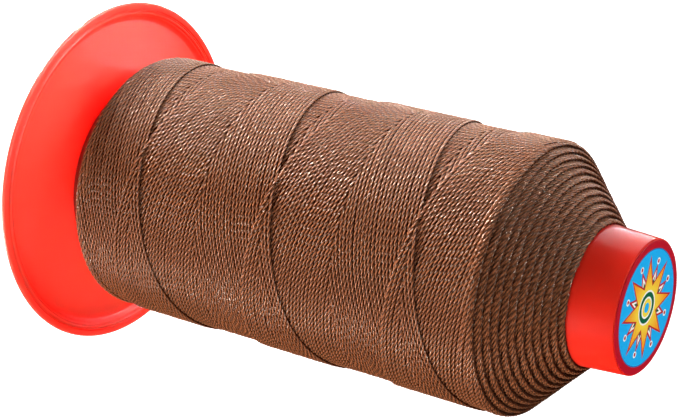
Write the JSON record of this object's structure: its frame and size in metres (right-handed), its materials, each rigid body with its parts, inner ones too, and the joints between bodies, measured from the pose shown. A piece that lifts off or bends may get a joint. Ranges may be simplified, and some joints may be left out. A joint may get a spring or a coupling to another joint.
{
  "type": "thread spool",
  "caption": "Large cross-wound package of waxed sewing thread on a tapered plastic tube, with a wide dished foot and a round end label.",
  "frame": {"origin": "centre of the circle on which the foot stands", "axes": "+Z along the spool's axis, from the foot to the labelled end of the tube"},
  "size_m": [0.0744, 0.0744, 0.1308],
  "materials": {
    "foot_plastic": "glossy, slightly translucent orange-red moulding",
    "tube_plastic": "glossy red moulding",
    "thread_inner": "waxed twisted thread",
    "thread_outer": "waxed three-ply twisted thread, silky",
    "label_print": "coated printed label"
  },
  "bodies": {
    "root": {"foot_flange": "foot_plastic", "spool_tube": "tube_plastic", "thread_core": "thread_inner", "thread_winding": "thread_outer", "end_label": "label_print"}
  },
  "joints": []
}
